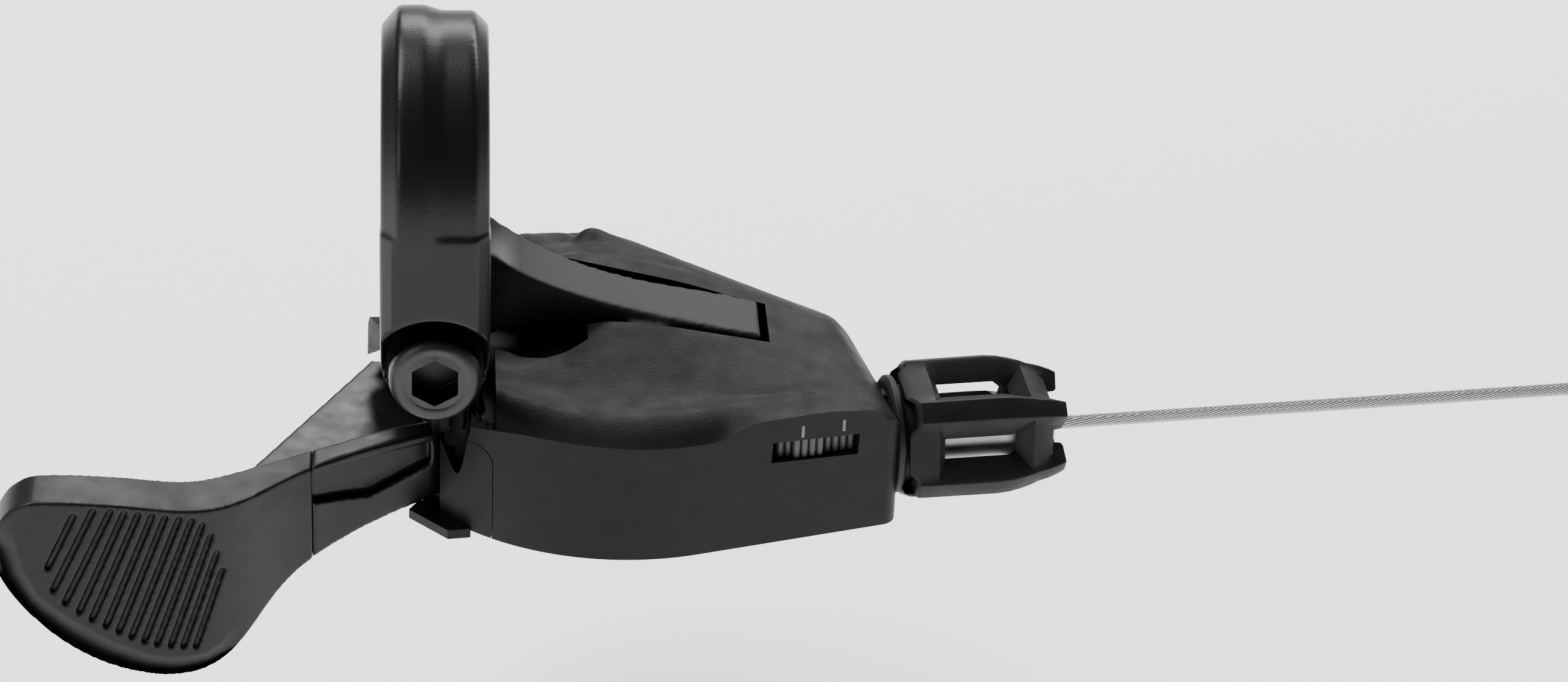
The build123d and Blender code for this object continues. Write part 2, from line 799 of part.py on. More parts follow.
def lever_pocket():
    """The long recess in the rib's face."""
    outline = polygon([(-0.4, -24.2), (-12.6, -24.3), (-11.0, -27.4), (-6.0, -28.3), (-0.4, -26.4)])
    strip = slab(lever_band(), -41, -18) - slab(lever_band(1.1), -42, -17)
    return from_front(outline, 0, 40) & strip


def lever_arm():
    rib = lever_wall() - pad_side()
    body = rib + slab(web_plan(), web_bottom, web_top) + pad_core()
    body -= lever_pocket()
    return body - slab(lever_plate_plan(0.02), lever_plate_bottom - 0.02, lever_plate_top + 0.02)


def lever_plate_plan(grow):
    hub = Pos(axle_x, axle_y) * Circle(lever_hub_radius + grow)
    blade = polygon([(axle_x - 2, axle_y + 7.2 + grow), (-1.5, 4.2 + grow), (-11.5 - grow, -7.6 + grow),
                     (-11.5 - grow, -9.2 - grow), (-1.5, -4.2 - grow), (axle_x - 2, axle_y - 7.2 - grow)])
    pivot = Pos(*drive_pivot) * Circle(2.6 + grow)
    return hub + blade + pivot


def lever_plate():
    body = slab(lever_plate_plan(0), lever_plate_bottom, lever_plate_top)
    return body - disc(axle_radius + running_gap, -40, 0)


# Barrel adjuster

sleeve_at = neck_at + barrel_start


def window_block(index, inner, outer):
    """One window of the sleeve, cut square to the cable's line."""
    half = window_angle / 2
    past = 1.2 * outer
    points = [(inner * cosd(half), -inner * sind(half)), (past * cosd(half), -past * sind(half)),
              (past * cosd(half), past * sind(half)), (inner * cosd(half), inner * sind(half))]
    block = extrude(polygon(points), window_run)
    return Rot(0, 0, 360 * index / sleeve_windows + 30) * block


def barrel_sleeve():
    profile = [
        (sleeve_bore, 0), (sleeve_radius - 0.5, 0), (sleeve_radius, 0.6), (sleeve_radius, 10.5),
        (sleeve_radius - 0.5, 12.0), (sleeve_end_radius + 0.6, sleeve_length - 0.5),
        (sleeve_end_radius, sleeve_length), (barrel_radius + running_gap, sleeve_length),
        (barrel_radius + running_gap, sleeve_length - 2.2), (sleeve_bore, sleeve_length - 3.0),
    ]
    face = make_face(Polyline(*[(r, 0, z) for r, z in profile], close=True))
    body = revolve(face, axis=Axis.Z)
    for i in range(sleeve_windows):
        body -= Pos(0, 0, window_start) * window_block(i, sleeve_bore - 0.4, sleeve_radius)
    for i in range(sleeve_windows):
        angle = 360 * i / sleeve_windows + 30
        for z, size in ((0, 1.1), (sleeve_length, 1.3)):
            x, y = (sleeve_radius + 0.3) * cosd(angle), (sleeve_radius + 0.3) * sind(angle)
            body -= Pos(x, y, z) * (Rot(0, 0, angle) * Cylinder(size, 2.6))
    return cable_place(sleeve_at) * body


def barrel_bolt():
    head_from = sleeve_at + 0.5
    head_to = sleeve_at + sleeve_length - 0.4
    body = on_cable(thread_radius, neck_at - neck_root, head_from)
    body += on_cable(barrel_radius, head_from, head_to)
    body -= on_cable(cable_bore, neck_at - 8, head_to + 1)
    return body - on_cable(socket_radius, head_to - socket_depth, head_to + 1)


def neck_seal():
    start = neck_at + neck_length
    return on_cable(3.9, start, start + 0.3) - on_cable(thread_radius + 0.1, start - 1, start + 1)


cable_exit = sleeve_at + sleeve_length - 0.4
coil_at = cable_exit + view_run


def inner_cable():
    return on_cable(cable_radius, body_gap, cable_exit)


def free_cable():
    """The straight run, up to the coil's skin."""
    skin = math.sqrt((coil_radius + coil_section) ** 2 - coil_radius ** 2)
    return on_cable(cable_radius, cable_exit, coil_at - skin + 1.5) - cable_coil()


def cable_coil():
    """The put-away length, as one closed ring that hangs under the cable's line."""
    centre = Pos(0, 0, -coil_radius)
    ring = Rot(90, 0, 0) * Torus(coil_radius, coil_section)
    x = axle_x + cable_line_radius * sind(cable_angle) + coil_at * cosd(cable_angle)
    y = axle_y - cable_line_radius * cosd(cable_angle) + coil_at * sind(cable_angle)
    return Pos(x, y, cable_z) * Rot(0, 0, cable_angle) * centre * ring


parts = {
    "clamp_bracket": clamp_bracket,
    "clamp_bolt": clamp_bolt,
    "upper_cover": upper_cover,
    "side_panel": side_panel,
    "lower_cover": lower_cover,
    "base_plate": base_plate,
    "cover_screws": cover_screws,
    "main_axle": main_axle,
    "axle_washer": axle_washer,
    "bracket_screw": bracket_screw,
    "middle_plate": middle_plate,
    "plate_post": plate_post,
    "indicator_plate": indicator_plate,
    "holding_pawl": holding_pawl,
    "holding_pawl_pin": holding_pawl_pin,
    "ratchet_plate": ratchet_plate,
    "winding_drum": winding_drum,
    "cable_head": cable_head,
    "cable_wrap": cable_wrap,
    "drum_return_spring": drum_return_spring,
    "lever_return_spring": lever_return_spring,
    "lever_plate": lever_plate,
    "lever_arm": lever_arm,
    "lever_pad": lever_pad,
    "drive_pawl": drive_pawl,
    "drive_pawl_pin": drive_pawl_pin,
    "barrel_sleeve": barrel_sleeve,
    "barrel_bolt": barrel_bolt,
    "neck_seal": neck_seal,
    "inner_cable": inner_cable,
    "free_cable": free_cable,
    "cable_coil": cable_coil,
}

for name, make in parts.items():
    export_step(make(), f"parts/{name}.step")
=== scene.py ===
import math

import bmesh
import bpy
from mathutils import Matrix, Vector


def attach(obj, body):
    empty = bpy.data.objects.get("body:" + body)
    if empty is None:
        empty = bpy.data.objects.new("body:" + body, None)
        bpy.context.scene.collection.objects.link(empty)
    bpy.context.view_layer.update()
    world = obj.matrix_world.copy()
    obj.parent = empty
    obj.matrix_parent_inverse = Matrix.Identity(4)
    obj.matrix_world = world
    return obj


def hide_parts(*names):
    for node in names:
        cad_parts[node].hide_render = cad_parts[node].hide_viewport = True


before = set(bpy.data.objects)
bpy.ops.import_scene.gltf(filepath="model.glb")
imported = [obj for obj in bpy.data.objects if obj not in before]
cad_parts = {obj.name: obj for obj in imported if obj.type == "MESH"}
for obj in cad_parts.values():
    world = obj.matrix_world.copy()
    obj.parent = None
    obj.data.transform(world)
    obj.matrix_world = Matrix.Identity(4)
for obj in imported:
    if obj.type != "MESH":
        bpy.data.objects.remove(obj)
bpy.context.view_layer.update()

MM = 0.001

# Sizes that the part's source gives, in millimetres.
AXLE = (20.5, 3.6)
CABLE_ANGLE = math.radians(7.2)
CABLE_LINE_RADIUS = 11.07
CABLE_Z = -25.5
CABLE_RADIUS = 0.6
CABLE_LENGTH = 1800.0
CABLE_EXIT = 35.315
COIL_AT = 117.315
COIL_RADIUS = 16.0
ALONG_CABLE = Vector((math.cos(CABLE_ANGLE), math.sin(CABLE_ANGLE), 0))
CABLE_START = Vector((AXLE[0] + CABLE_LINE_RADIUS * math.sin(CABLE_ANGLE),
                      AXLE[1] - CABLE_LINE_RADIUS * math.cos(CABLE_ANGLE), CABLE_Z))


def on_cable(distance):
    """The place that far along the cable's line."""
    return (CABLE_START + ALONG_CABLE * distance) * MM


# Materials.

def colour(hex_code):
    """An sRGB hex value as the linear colour that a shader takes."""
    channels = [int(hex_code[i:i + 2], 16) / 255 for i in (1, 3, 5)]
    return [c / 12.92 if c <= 0.04045 else ((c + 0.055) / 1.055) ** 2.4 for c in channels] + [1.0]


def add_node(material, kind, inputs=None, **settings):
    """Adds a node with its settings; an input that is a socket is linked and any other is its value."""
    node = material.node_tree.nodes.new(kind)
    for name, value in settings.items():
        setattr(node, name, value)
    for name, value in (inputs or {}).items():
        if isinstance(value, bpy.types.NodeSocket):
            material.node_tree.links.new(value, node.inputs[name])
        else:
            node.inputs[name].default_value = value
    return node


def new_material(name, **sockets):
    """A material whose constant values sit on the shader's own sockets."""
    material = bpy.data.materials.new(name)
    material.use_nodes = True
    shader = material.node_tree.nodes["Principled BSDF"]
    for socket, value in sockets.items():
        shader.inputs[socket.replace("_", " ")].default_value = value
    return material


def shader_of(material):
    return material.node_tree.nodes["Principled BSDF"]


def link(material, output, socket):
    material.node_tree.links.new(output, shader_of(material).inputs[socket])


def object_place(material):
    return add_node(material, "ShaderNodeTexCoord").outputs["Object"]


def noise(material, place, size_mm, detail=3.0, roughness=0.55):
    """Noise whose features are about that many millimetres across."""
    return add_node(material, "ShaderNodeTexNoise", {
        "Vector": place, "Scale": 1 / (size_mm * MM), "Detail": detail, "Roughness": roughness})


def ramp(material, factor, low, high, low_value, high_value):
    """The factor's stretch from low to high, mapped onto a range of values."""
    return add_node(material, "ShaderNodeMapRange", {
        "Value": factor, "From Min": low, "From Max": high, "To Min": low_value, "To Max": high_value})


def mix_colours(material, factor, first, second):
    node = add_node(material, "ShaderNodeMix", data_type="RGBA")
    node.inputs[6].default_value = colour(first)
    node.inputs[7].default_value = colour(second)
    material.node_tree.links.new(factor, node.inputs[0])
    return node.outputs[2]


# Sizes of the slow changes of tone and of roughness, in millimetres.
TONE_MM = 14.0
PATCH_MM = 2.2


def grained(name, dark, light, rough_low, rough_high, grain_mm, bump_mm, strength, fade=None,
            **sockets):
    """A surface with a fine grain. Its tone and roughness change slowly, or along X where fade says."""
    material = new_material(name, **sockets)
    place = object_place(material)
    if fade:
        across = add_node(material, "ShaderNodeSeparateXYZ", {"Vector": place}).outputs["X"]
        share = ramp(material, across, fade[0] * MM, fade[1] * MM, 0.0, 1.0).outputs["Result"]
        patches = share
    else:
        share = noise(material, place, TONE_MM, 1.0).outputs["Fac"]
        patches = noise(material, place, PATCH_MM, 3.0).outputs["Fac"]
    link(material, mix_colours(material, share, dark, light), "Base Color")
    rough = ramp(material, patches, 0.3, 0.7, rough_low, rough_high)
    link(material, rough.outputs["Result"], "Roughness")
    grain = noise(material, place, grain_mm, 2.0, 0.6)
    bump = add_node(material, "ShaderNodeBump", {
        "Height": grain.outputs["Fac"], "Strength": strength, "Distance": bump_mm * MM})
    link(material, bump.outputs["Normal"], "Normal")
    return material


# Black anodised forging: a thin even oxide over tumbled metal, satin on the ring, and duller and
# greyer on the arm, whose face is blasted.
ANODISED = grained("black_anodised_aluminium", "#101011", "#1f1f20", 0.36, 0.54, 0.3, 0.03, 0.5,
                   fade=(5.5, 9.0), Metallic=0.2, Specular_IOR_Level=0.35)
# Glass-filled nylon with a spark-eroded texture: matte, pebbled and a little grey at grazing angles.
SPARKED = grained("spark_textured_black_nylon", "#0c0c0d", "#131314", 0.52, 0.64, 0.30, 0.06, 0.85,
                  IOR=1.53, Specular_IOR_Level=0.2)
# The same nylon from a smoother face of the mould: satin, with a trace of flow.
MOULDED = grained("moulded_black_nylon", "#0b0b0c", "#101011", 0.42, 0.52, 0.45, 0.02, 0.35, IOR=1.53,
                  Specular_IOR_Level=0.18)
# Moulded lever resin, polished more than the cover.
LEVER_RESIN = grained("satin_black_acetal", "#09090a", "#0e0e0f", 0.30, 0.40, 0.5, 0.015, 0.3, IOR=1.48,
                      Specular_IOR_Level=0.32)
# Overmoulded elastomer of the thumb pad: satin and soft.
ELASTOMER = grained("black_thermoplastic_elastomer", "#0b0b0c", "#111112", 0.40, 0.48, 0.3, 0.02, 0.4,
                    IOR=1.5, Specular_IOR_Level=0.3)
# Soft matte resin of the adjuster's sleeve.
SLEEVE_RESIN = grained("matte_black_elastomer", "#0c0c0d", "#121213", 0.5, 0.62, 0.25, 0.03, 0.5, IOR=1.5,
                       Specular_IOR_Level=0.3)
# Black oxide on steel: a thin dark skin with a metal gleam.
BLACK_OXIDE = grained("black_oxide_steel", "#262627", "#323233", 0.30, 0.42, 0.4, 0.01, 0.4, Metallic=1.0)
# The head's rounded face, coloured a lighter grey as a painted highlight.
HIGHLIGHT_PAINTED_STEEL = grained("black_oxide_steel_painted_highlight", "#343435", "#4c4c4d", 0.34, 0.48, 0.3, 0.02, 0.5,
                     Metallic=1.0)
# Turned bright aluminium of the adjuster's barrel.
BRIGHT_ALUMINIUM = grained("turned_bright_aluminium", "#c6c7c9", "#dcdddf", 0.42, 0.52, 0.5, 0.005, 0.2,
                           Metallic=1.0)
# Stamped and tumbled steel plates of the mechanism.
STAMPED_STEEL = grained("stamped_steel", "#77787a", "#9a9b9d", 0.30, 0.42, 0.4, 0.01, 0.3, Metallic=1.0)
# Zinc-nickel plated ratchet steel, a dull dark grey.
RATCHET_STEEL = grained("plated_ratchet_steel", "#7a7a7b", "#8f8f90", 0.34, 0.5, 0.35, 0.02, 0.4,
                        Metallic=0.9)
# Acetal of the drum and the marker, black in fact, coloured a lighter grey as painted light and painted
# highlights, since little light reaches them through the window.
PAINTED_LIGHT_ACETAL = grained("acetal_lightened_as_painted_light", "#3c3c3d", "#4a4a4b", 0.35, 0.45, 0.4, 0.01, 0.3, IOR=1.48)
# Nitrile seal: dead black and matte.
NITRILE = grained("black_nitrile_rubber", "#0a0a0b", "#0f0f10", 0.6, 0.7, 0.3, 0.02, 0.4, IOR=1.52)
# Pad-printed grey ink, worn a little thin.
INK = grained("printed_grey_ink", "#68686a", "#7a7a7c", 0.5, 0.6, 0.2, 0.005, 0.3, IOR=1.5)


# Wires round the cable, and the length in which each goes round once.
WIRES = 9
LAY_MM = 9.0


def strands():
    """Drawn stainless wires laid in a helix: bright, with painted shade in the grooves where two wires
    meet.
    """
    material = new_material("stranded_stainless_steel", Metallic=1.0, Roughness=0.26)
    uv = add_node(material, "ShaderNodeUVMap", uv_map="UVMap")
    split = add_node(material, "ShaderNodeSeparateXYZ", {"Vector": uv.outputs["UV"]})
    turns = WIRES * 2 * math.pi
    along = add_node(material, "ShaderNodeMath", {
        0: split.outputs["X"], 1: CABLE_LENGTH / LAY_MM * turns}, operation="MULTIPLY")
    around = add_node(material, "ShaderNodeMath", {
        0: split.outputs["Y"], 1: turns}, operation="MULTIPLY")
    both = add_node(material, "ShaderNodeMath", {
        0: along.outputs[0], 1: around.outputs[0]}, operation="ADD")
    wave = add_node(material, "ShaderNodeMath", {0: both.outputs[0]}, operation="SINE")
    height = add_node(material, "ShaderNodeMath", {0: wave.outputs[0]}, operation="ABSOLUTE")
    # The darker colour in the grooves between the wires is painted shade.
    shade = ramp(material, height.outputs[0], 0.0, 0.5, 0.0, 1.0)
    link(material, mix_colours(material, shade.outputs["Result"], "#6d6e70", "#c9cacc"), "Base Color")
    bump = add_node(material, "ShaderNodeBump", {
        "Height": height.outputs[0], "Strength": 0.8, "Distance": 0.12 * MM})
    link(material, bump.outputs["Normal"], "Normal")
    return material


STRANDS = strands()


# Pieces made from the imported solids.


def smooth(t):
    """A share from 0 to 1 that starts and ends level."""
    t = min(1.0, max(0.0, t))
    return t * t * (3 - 2 * t)


def finish_object(obj, body, slot, *nodes):
    """Puts a piece in the scene, on its body, in place of its solids."""
    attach(obj, body)
    if nodes:
        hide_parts(*nodes)
    return obj


def mesh_object(name, bm, *materials):
    """An object in the scene from a finished bmesh, which it uses up."""
    mesh = bpy.data.meshes.new(name)
    bm.to_mesh(mesh)
    bm.free()
    # The normals that come with a solid don't fit its changed faces.
    if "custom_normal" in mesh.attributes:
        mesh.attributes.remove(mesh.attributes["custom_normal"])
    obj = bpy.data.objects.new(name, mesh)
    bpy.context.collection.objects.link(obj)
    for material in materials:
        mesh.materials.append(material)
    return obj


def merged_copy(node):
    """A copy of a solid's mesh, with its loose triangles joined and flat faces made whole."""
    bm = bmesh.new()
    bm.from_mesh(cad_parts[node].data)
    bmesh.ops.remove_doubles(bm, verts=bm.verts, dist=0.0004 * MM)
    bmesh.ops.dissolve_limit(bm, angle_limit=math.radians(0.6), verts=bm.verts, edges=bm.edges)
    for face in bm.faces:
        face.material_index = 0
        face.smooth = True
    return bm


def round_edges(obj, width_mm, segments=2, angle=32):
    """Edges are rounded as a mould or a tumbler leaves them."""
    bevel = obj.modifiers.new("rounded_edges", "BEVEL")
    bevel.width = width_mm * MM
    bevel.segments = segments
    bevel.limit_method = "ANGLE"
    bevel.angle_limit = math.radians(angle)
    bevel.harden_normals = True
    bevel.use_clamp_overlap = True
    bevel.miter_outer = "MITER_ARC"


def clad(node, name, body, slot, width_mm, material):
    """A copy of a solid with its edges rounded."""
    obj = mesh_object(name, merged_copy(node), material)
    round_edges(obj, width_mm)
    return finish_object(obj, body, slot, node)


def even_net(bm, net_mm, rounds):
    """The same shape on an even net, with its edges eased by that many rounds of smoothing."""
    obj = mesh_object("net", bm)
    net = obj.modifiers.new("even_net", "REMESH")
    net.mode = "VOXEL"
    net.voxel_size = net_mm * MM
    ease = obj.modifiers.new("eased_edges", "SMOOTH")
    ease.factor = 0.5
    ease.iterations = rounds
    graph = bpy.context.evaluated_depsgraph_get()
    eased = bpy.data.meshes.new_from_object(obj.evaluated_get(graph), depsgraph=graph)
    result = bmesh.new()
    result.from_mesh(eased)
    coarse = obj.data
    bpy.data.objects.remove(obj)
    for mesh in (coarse, eased):
        bpy.data.meshes.remove(mesh)
    return result


def moulded_soft(node, name, body, slot, material, net_mm, rounds, shape=None):
    """A copy of a solid whose edges are rounded all over, as in a soft moulding or a forging."""
    bm = even_net(merged_copy(node), net_mm, rounds)
    if shape:
        bm.normal_update()
        shape(bm)
    for face in bm.faces:
        face.smooth = True
    return finish_object(mesh_object(name, bm, material), body, slot, node)


# The paddle's left and lower outline, as X and the distance down across the line of sight of
# someone who looks down at it by 30 degrees, both in millimetres.
PADDLE_EDGE = ((-35.1, 28.2), (-36.8, 29.1), (-38.3, 31.1), (-39.0, 32.4), (-38.9, 34.1),
               (-38.3, 37.0), (-36.8, 39.8), (-33.6, 42.3), (-29.9, 44.5), (-26.2, 46.0),
               (-23.5, 46.4), (-21.7, 46.3), (-19.8, 45.9), (-18.3, 44.8), (-17.0, 43.5))
PADDLE_BEVEL = 1.9
BEVEL_SLOPE = 0.75
# The bevel fades in below the paddle's tip and out before its neck, each over a few millimetres.
BEVEL_STARTS = 31.5
BEVEL_STARTS_OVER = 3.5
BEVEL_ENDS = -17.2
BEVEL_ENDS_OVER = 3.0
FACING_ENOUGH = 0.4
LOOKING_DOWN = Vector((0, math.cos(math.radians(30)), -math.sin(math.radians(30))))


def edge_distance(x, across):
    """How far a point of the paddle's face lies from its outline."""
    nearest = PADDLE_BEVEL
    for (x0, w0), (x1, w1) in zip(PADDLE_EDGE, PADDLE_EDGE[1:]):
        run = Vector((x1 - x0, w1 - w0))
        share = min(1.0, max(0.0, Vector((x - x0, across - w0)).dot(run) / run.length_squared))
        nearest = min(nearest, math.dist((x, across), (x0 + run.x * share, w0 + run.y * share)))
    return nearest


def bevel_paddle(bm):
    """Turns the face's lower and left border back in a bevel."""
    for vert in bm.verts:
        facing = -vert.normal.dot(LOOKING_DOWN)
        if facing < 0.0:
            continue
        x, y, z = vert.co / MM
        across = z * -LOOKING_DOWN.y + y * LOOKING_DOWN.z
        fade = smooth((across - BEVEL_STARTS) / BEVEL_STARTS_OVER)
        fade *= smooth((BEVEL_ENDS - x) / BEVEL_ENDS_OVER) * smooth(facing / FACING_ENOUGH)
        back = (PADDLE_BEVEL - edge_distance(x, across)) * BEVEL_SLOPE * fade
        vert.co += LOOKING_DOWN * back * MM


UPRIGHT_LEAN = 0.25


def cover_face(face):
    """1 on the upright walls, which come from a smoother face of the mould, and 0 elsewhere."""
    return 1 if abs(face.normal.z) < UPRIGHT_LEAN else 0


# Net and rounds of easing: a forging's wide round edges, the lever's and the pad's finer ones.
moulded_soft("clamp_bracket", "clamp_bracket_skin", "shifter", "bracket_aluminium", ANODISED, 0.22, 12)
clad("side_panel", "side_panel_skin", "shifter", "cover_resin", 0.18, MOULDED)
clad("lower_cover", "lower_cover_skin", "shifter", "cover_resin", 0.2, MOULDED)
moulded_soft("lever_arm", "lever_arm_skin", "lever", "lever_resin", LEVER_RESIN, 0.2, 10)
moulded_soft("lever_pad", "lever_pad_skin", "lever", "pad_rubber", ELASTOMER, 0.15, 7,
             bevel_paddle)


# Upper cover.

# The housing's outline and crown, as the part's source has them.
FRONT_CENTRE = (17.5, 5.3)
FRONT_RADIUS = 22.6
REAR_CENTRE = (13.0, 5.3)
REAR_RADIUS = 18.1
WALL_ANGLE = math.radians(16.5)
REAR_ANGLE = math.radians(32.0)
END_SLANT = math.radians(12.0)
END_X = 42.7
POCKET_FLOOR = -20.25
REAR_RIM = -22.6
END_RIM = -21.5


def shoulder(t):
    """A rise that starts at full slope and ends level at 1."""
    if t < 0:
        return 2 * t / (1 - 8 * t)
    return 1 - (1 - min(1.0, t)) ** 2


def depth_in(x, y, centre, radius, angle, sign):
    """How far a point lies inside a wall that is round about a centre and then straight."""
    along = (x - centre[0]) * math.cos(angle) + sign * (y - centre[1]) * math.sin(angle)
    if along > 0:
        return radius - (x - centre[0]) * math.sin(angle) + sign * (y - centre[1]) * math.cos(angle)
    return radius - math.dist((x, y), centre)


def end_depth(x, y):
    """How far a point lies inside the slanted end."""
    foot_x = FRONT_CENTRE[0] + FRONT_RADIUS * math.sin(WALL_ANGLE)
    foot_y = FRONT_CENTRE[1] - FRONT_RADIUS * math.cos(WALL_ANGLE)
    end_y = foot_y + (END_X - foot_x) * math.tan(WALL_ANGLE)
    return (END_X - x) * math.cos(END_SLANT) + (end_y - y) * math.sin(END_SLANT)


def rim_height(x):
    """Height of the edge where the front wall turns into the shoulder."""
    height = -21.0 + 1.6 * smooth((x + 1) / 10) - 0.4 * smooth((x - 10) / 12)
    return height + 1.5 * smooth((x - 25) / 4.5) - 2.6 * smooth((x - 38.5) / 4.5)


def crown_height(x):
    return -14.6 - 0.13 * math.hypot(max(0.0, x - 7), 1.0)


def solid_height(x, y):
    """The height of the solid's top."""
    crown = crown_height(x)
    depth = depth_in(x, y, FRONT_CENTRE, FRONT_RADIUS, WALL_ANGLE, 1)
    rise = 0.45 * smooth(depth / 3.5) + 0.10 * smooth((depth - 3) / 6) + 0.45 * smooth((depth - 7.5) / 8.5)
    rear = shoulder(depth_in(x, y, REAR_CENTRE, REAR_RADIUS, REAR_ANGLE, -1) / 8.0)
    drops = ((crown - rim_height(x)) * (1 - rise), (crown - REAR_RIM) * (1 - rear),
             (crown - END_RIM) * (1 - shoulder(end_depth(x, y) / END_FALL)))
    return crown - sum(drop ** 4 for drop in drops) ** 0.25


def at_x(line, x):
    """A line's value at x, between the points that it is given by."""
    for (x0, v0), (x1, v1) in zip(line, line[1:]):
        if x < x1:
            return v0 + (v1 - v0) * max(0.0, (x - x0) / (x1 - x0))
    return line[-1][1]


# Lines of the sculpted shoulder, front to back: the soft crest over the wall, the fold where the
# upper body starts to rise, and the lip along the pocket and the arm's slot. Each is a place or a
# height at that X. SWOOSH is the far edge of the raised patch behind the arm.
CREST_DEPTH = 3.6
CREST_HEIGHT = ((5.0, -17.6), (9.0, -17.8), (12.0, -18.0), (17.5, -18.2), (25.0, -18.0),
                (32.0, -18.2))
FOLD_PLACE = ((5.0, -6.5), (9.0, -5.5), (12.0, -6.2), (15.0, -7.0), (18.0, -7.5), (26.0, -8.5),
              (34.0, -9.5))
FOLD_HEIGHT = ((5.0, -17.8), (9.0, -18.1), (22.0, -18.2), (34.0, -18.35))
LIP_PLACE = ((5.0, -1.6), (7.9, -3.4), (10.3, -3.5), (12.6, -2.3), (14.2, -1.0), (16.0, 0.6), (22.0, -0.5),
             (30.5, -1.4), (40.0, -4.0))
LIP_HEIGHT = ((5.0, -17.9), (9.0, -18.2), (12.0, -18.1), (14.2, -17.4), (16.0, -16.8), (18.0, -16.6),
              (22.0, -16.5), (30.5, -17.65), (36.0, -18.35), (42.0, -19.1))
SWOOSH = ((8.0, 10.4), (12.2, 11.0), (14.6, 12.2), (18.7, 11.8), (23.4, 10.6), (27.0, 8.6), (31.0, 6.4))
VALLEY_DEPTH = 0.3
SWOOSH_STEP = 0.45
SWOOSH_EDGE = 0.5
SWOOSH_FROM = 8.0
SWOOSH_TO = 30.0
# Past this X, the top also falls to the slanted end.
END_FALL_FROM = 34.0
END_FALL = 3.0
SLOT_MIDDLE = 4.5
SOFTNESS = 0.6


def front_height(x, y):
    """The sculpted top between the front wall and the lip."""
    depth = depth_in(x, y, FRONT_CENTRE, FRONT_RADIUS, WALL_ANGLE, 1)
    crest, fold, lip = at_x(CREST_HEIGHT, x), at_x(FOLD_HEIGHT, x), at_x(LIP_HEIGHT, x)
    fold_y, lip_y = at_x(FOLD_PLACE, x), at_x(LIP_PLACE, x)
    if y > fold_y:
        return fold + (lip - fold) * min(1.0, (y - fold_y) / (lip_y - fold_y))
    if depth > CREST_DEPTH:
        share = (depth - CREST_DEPTH) / (depth - CREST_DEPTH + fold_y - y + 0.01)
        return crest + (fold - crest) * share - VALLEY_DEPTH * math.sin(math.pi * share)
    return rim_height(x) + (crest - rim_height(x)) * shoulder(depth / CREST_DEPTH)


def sculpted_height(x, y):
    """The top as seen: a terrace over the front wall, a lip along the slot, a swoosh behind the arm."""
    if y < SLOT_MIDDLE:
        front = front_height(x, min(y, at_x(LIP_PLACE, x)))
        end = (crown_height(x) - END_RIM) * (1 - shoulder(end_depth(x, y) / END_FALL))
        return min(front, crown_height(x) - end) if x > END_FALL_FROM else front
    solid = solid_height(x, y)
    swoosh = smooth((at_x(SWOOSH, x) - y) / SWOOSH_EDGE)
    swoosh *= smooth((x - SWOOSH_FROM) / 4.0) * smooth((SWOOSH_TO - x) / 8.0)
    return solid + SWOOSH_STEP * swoosh * smooth(y - 4.0)


# The left end starts past LEFT_END and is moved out by LIP_OUT, above the panel's top.
LEFT_END = -3.9
LEFT_END_OVER = 1.2
LIP_OUT = 1.4
LIP_FOOT = -24.5
LIP_AT_BAR = -18.75
LIP_RISE = 0.16
# Between the neck and this Y, the solid's top is reshaped. The steep rear stays as the solid has it.
NECK_FROM = 40.5
REAR_KEPT = 14.0
NEAR_TOP = 0.6
TOP_LEAN = 0.12


def left_lip(y):
    """Height of the housing's left end, which shows past the clamp's band."""
    return LIP_AT_BAR + LIP_RISE * y


def soft_height(x, y):
    """The sculpted height with its folds rounded, as an average of its neighbourhood."""
    places = [(0.0, 0.0), (SOFTNESS, 0.0), (-SOFTNESS, 0.0), (0.0, SOFTNESS), (0.0, -SOFTNESS)]
    return sum(sculpted_height(x + dx, y + dy) for dx, dy in places) / len(places)


def is_top(face):
    return face.normal.z > TOP_LEAN


def sculpt_cover(bm):
    """Moves the solid's top to the sculpted one, and the left end out past the band."""
    tops = {v for f in bm.faces if is_top(f) for v in f.verts}
    for vert in tops:
        x, y, z = vert.co / MM
        if y < REAR_KEPT and abs(z - solid_height(x, y)) < NEAR_TOP:
            vert.co.z = soft_height(x, y) * MM
    for vert in bm.verts:
        x, y, z = vert.co / MM
        if x < NECK_FROM and y < REAR_KEPT and z > soft_height(x, y):
            vert.co.z = soft_height(x, y) * MM
        if x < LEFT_END and z > LIP_FOOT:
            out = smooth((LEFT_END - x) / LEFT_END_OVER)
            vert.co.x -= LIP_OUT * out * MM
            if abs(z - POCKET_FLOOR) < 0.01:
                vert.co.z += (left_lip(y) - POCKET_FLOOR) * smooth((out - 0.45) / 0.4) * MM


TOP_SPAN_X = (-5.2, 43.0)
TOP_SPAN_Y = (-17.5, 23.0)
TOP_STEP = 0.6
WALL_SPAN_Z = (-21.4, -18.2)
WALL_STEP = 0.5
# The cuts start this share of a step in, so that none runs along an edge of the solid.
CUT_OFFSET = 0.37


def fine_cuts(bm, axis, low, high, step, chosen):
    """Cuts the chosen faces by planes across one axis, so that they can bend."""
    for i in range(int((high - low) / step)):
        faces = [f for f in bm.faces if chosen(f)]
        edges = list({e for f in faces for e in f.edges})
        verts = list({v for f in faces for v in f.verts})
        bmesh.ops.bisect_plane(bm, geom=verts + edges + faces, dist=0.002 * MM,
                               plane_co=axis * (low + step * (i + CUT_OFFSET)) * MM, plane_no=axis)


